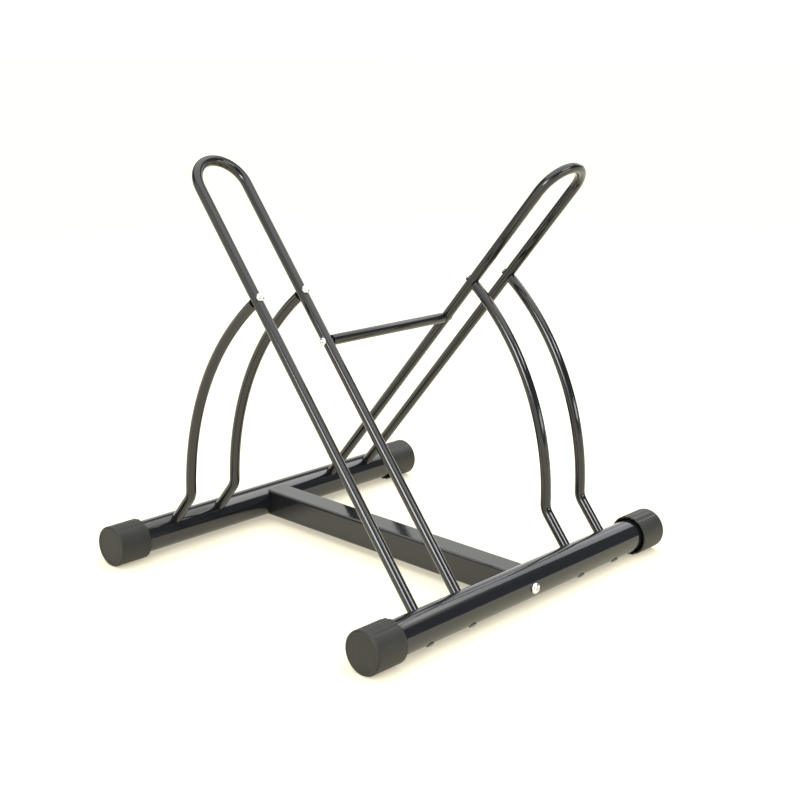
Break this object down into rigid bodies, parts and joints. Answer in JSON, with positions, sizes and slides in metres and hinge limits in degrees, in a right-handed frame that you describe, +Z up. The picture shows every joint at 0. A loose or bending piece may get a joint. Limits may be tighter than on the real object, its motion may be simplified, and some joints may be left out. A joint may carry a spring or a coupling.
{
  "type": "floor bike rack",
  "caption": "Free-standing floor rack of bolted steel tube: crossed leaning hoops hold bicycle wheels over a capped ladder base",
  "frame": {"origin": "on the floor, midway between the two base tubes and midway along them", "axes": "+Z up, +Y along the base tubes towards the back, +X across them along the beam; the front hoop stands in the right (+X) base tube"},
  "size_m": [0.4472, 0.494, 0.4631],
  "materials": {
    "gloss_black_steel": "gloss black powder coat",
    "matte_black_plastic": "moulded, matte, very dark grey",
    "zinc_steel": "bright zinc plate",
    "blackened_steel": "blackened, semi-matte"
  },
  "bodies": {
    "root": {"base_tube_left": "gloss_black_steel", "base_tube_right": "gloss_black_steel", "cross_beam": "gloss_black_steel", "hoop_front": "gloss_black_steel", "hoop_back": "gloss_black_steel", "support_front_inner": "gloss_black_steel", "support_front_outer": "gloss_black_steel", "support_back_inner": "gloss_black_steel", "support_back_outer": "gloss_black_steel", "cross_strut": "gloss_black_steel", "hoop_foot_bushes": "gloss_black_steel", "support_foot_bushes": "gloss_black_steel", "support_top_bushes": "gloss_black_steel", "strut_bushes": "gloss_black_steel", "end_cap_left_front": "matte_black_plastic", "end_cap_left_back": "matte_black_plastic", "end_cap_right_front": "matte_black_plastic", "end_cap_right_back": "matte_black_plastic", "beam_nut_plate_left": "zinc_steel", "beam_nut_plate_right": "zinc_steel", "beam_bolts": "zinc_steel", "support_screws": "zinc_steel", "strut_screws": "zinc_steel", "foot_screws": "blackened_steel"}
  },
  "joints": []
}
